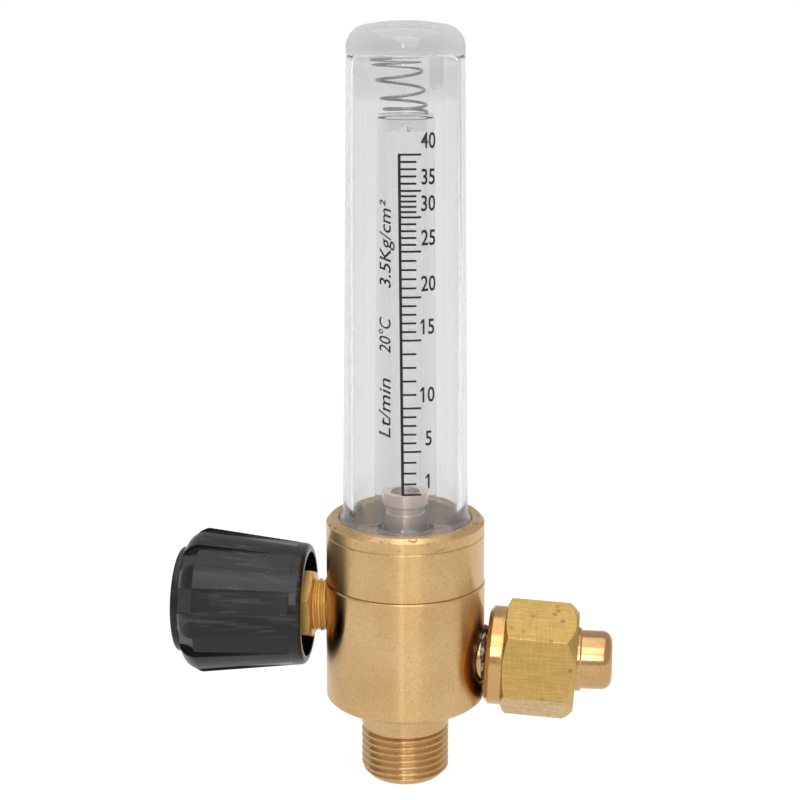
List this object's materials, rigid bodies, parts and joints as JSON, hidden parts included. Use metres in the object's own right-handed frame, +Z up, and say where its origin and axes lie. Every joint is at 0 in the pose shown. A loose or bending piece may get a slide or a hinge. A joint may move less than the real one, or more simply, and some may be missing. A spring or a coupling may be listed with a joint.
{
  "type": "oxygen flowmeter",
  "caption": "Ward oxygen flowmeter: brass body, clear cover over a float tube, fluted valve knob, inlet nipple with loose union nut, threaded outlet below.",
  "frame": {"origin": "centre of the outlet's end face", "axes": "+Z up along the metering tube, +X out along the inlet nipple, -X out along the valve stem"},
  "size_m": [0.0825, 0.03, 0.142],
  "materials": {
    "body_brass": "satin turned",
    "fitting_brass": "machined",
    "nipple_brass": "polished",
    "nut_brass": "drawn flats",
    "bronze": "sintered",
    "steel": "bright",
    "clear_plastic": "clear",
    "black_plastic": "moulded",
    "black_rubber": "matt",
    "white_sealant": "matt"
  },
  "bodies": {
    "meter_body": {"lower_body": "body_brass", "clamp_collar": "body_brass", "clear_cover": "clear_plastic", "cover_seal": "black_rubber", "metering_tube": "clear_plastic", "tube_seal": "black_rubber", "tube_seat": "body_brass", "seat_washer": "black_rubber", "float_stop": "clear_plastic", "tube_spring": "steel", "valve_bonnet": "fitting_brass", "bonnet_washer": "black_rubber", "inlet_nipple": "nipple_brass", "nipple_sealant": "white_sealant", "inlet_filter": "bronze"},
    "poppet": {"valve_poppet": "fitting_brass", "seat_disc": "black_rubber"},
    "knob": {"valve_stem": "fitting_brass", "stem_seal": "black_rubber", "control_knob": "black_plastic", "knob_screw": "steel", "knob_cap": "black_plastic"},
    "float": {"float_ball": "steel"},
    "nut": {"union_nut": "nut_brass"}
  },
  "joints": [
    {"name": "stem_travel", "type": "slide", "parent": "meter_body", "child": "poppet", "axis": [-1, 0, 0], "range_m": [0, 0.002]},
    {"name": "knob_turn", "type": "hinge", "parent": "poppet", "child": "knob", "pos_m": [-0.02, 0, 0.033], "axis": [-1, 0, 0], "range_deg": [0, 900]},
    {"name": "float_rise", "type": "slide", "parent": "meter_body", "child": "float", "axis": [0, 0, 1], "range_m": [0, 0.0675]},
    {"name": "nut_spin", "type": "hinge", "parent": "meter_body", "child": "nut", "pos_m": [0.02085, 0, 0.02418], "axis": [0.9986, 0, -0.0523], "continuous": true}
  ],
  "couplings": [
    {"joint": "stem_travel", "follows": "knob_turn", "m_per_rad": 0.00012732}
  ]
}
